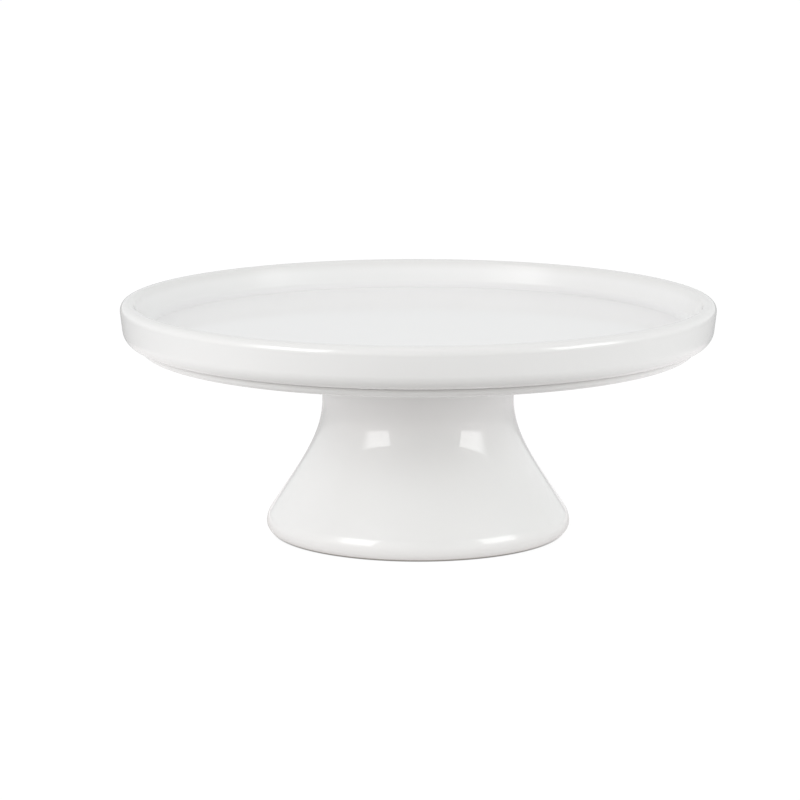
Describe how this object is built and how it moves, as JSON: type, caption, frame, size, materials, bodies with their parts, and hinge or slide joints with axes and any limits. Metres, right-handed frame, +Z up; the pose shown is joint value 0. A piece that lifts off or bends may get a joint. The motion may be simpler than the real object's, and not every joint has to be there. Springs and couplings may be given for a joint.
{
  "type": "cake stand",
  "caption": "Round footed cake stand in white glazed ceramic: a flat plate with a raised rim on a hollow, flared pedestal.",
  "frame": {"origin": "centre of the foot, on the surface that the stand rests on", "axes": "+Z up along the axis of the plate and pedestal; X and Y are equal, as the stand is a body of revolution"},
  "size_m": [0.3048, 0.3048, 0.1207],
  "materials": {
    "white_glaze": "glossy white glaze all over, left off the ring that the foot stands on",
    "seam_glaze": "the same glossy white glaze, a little thicker where it gathers in the seam"
  },
  "bodies": {
    "root": {"plate": "white_glaze", "pedestal": "white_glaze", "slip_joint": "seam_glaze"}
  },
  "joints": []
}
